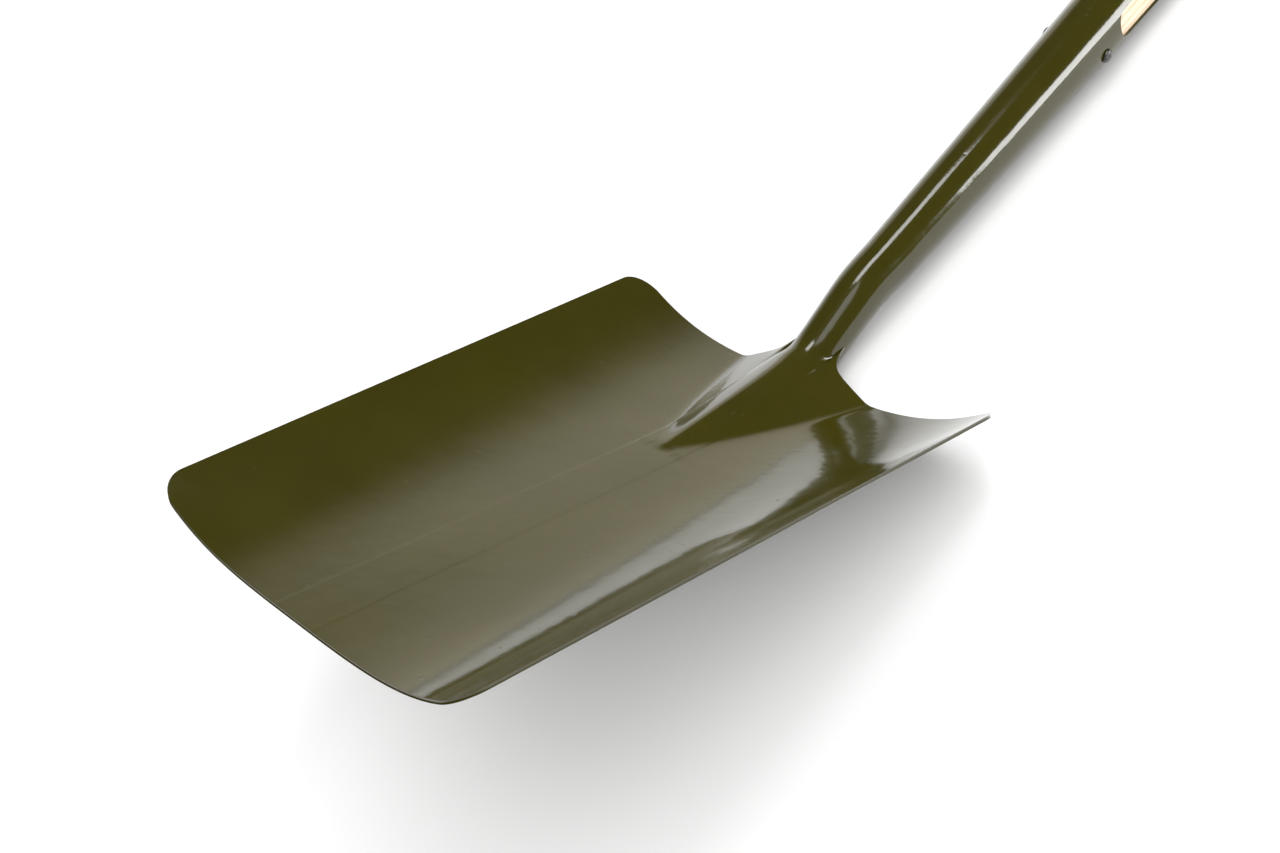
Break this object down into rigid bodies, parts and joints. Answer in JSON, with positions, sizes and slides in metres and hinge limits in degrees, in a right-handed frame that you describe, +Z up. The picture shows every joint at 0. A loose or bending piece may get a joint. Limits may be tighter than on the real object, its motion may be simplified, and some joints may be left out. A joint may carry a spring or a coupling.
{
  "type": "garden spade",
  "caption": "Broad square-mouthed garden spade: a dished olive-painted steel blade with a frog and a strapped socket on an ash shaft with a D-grip, for digging and moving soil.",
  "frame": {"origin": "middle of the floor under the spade, which lies on its back on the underside of its neck and its lower strap rivet", "axes": "+Y along the spade from the mouth of the blade to the D-grip, +X to the right seen from behind the grip, along the crossbar, +Z up, out of the dish"},
  "size_m": [0.254, 1.1052, 0.1692],
  "materials": {
    "olive_enamel": "glossy olive-drab enamel over forged steel, with a slight orange peel",
    "ash": "pale turned ash, fine straight grain, clear oiled",
    "dark_steel": "dark mill-finish steel, lightly burnished heads"
  },
  "bodies": {
    "root": {"spade_head": "olive_enamel", "ash_shaft": "ash", "socket_pin": "dark_steel", "strap_rivet_lower": "olive_enamel", "strap_rivet_upper": "olive_enamel", "grip_yoke": "olive_enamel", "grip_bar": "ash", "grip_rod": "dark_steel", "grip_washer_left": "dark_steel", "grip_washer_right": "dark_steel", "yoke_rivet_lower": "dark_steel", "yoke_rivet_upper": "dark_steel"}
  },
  "joints": []
}
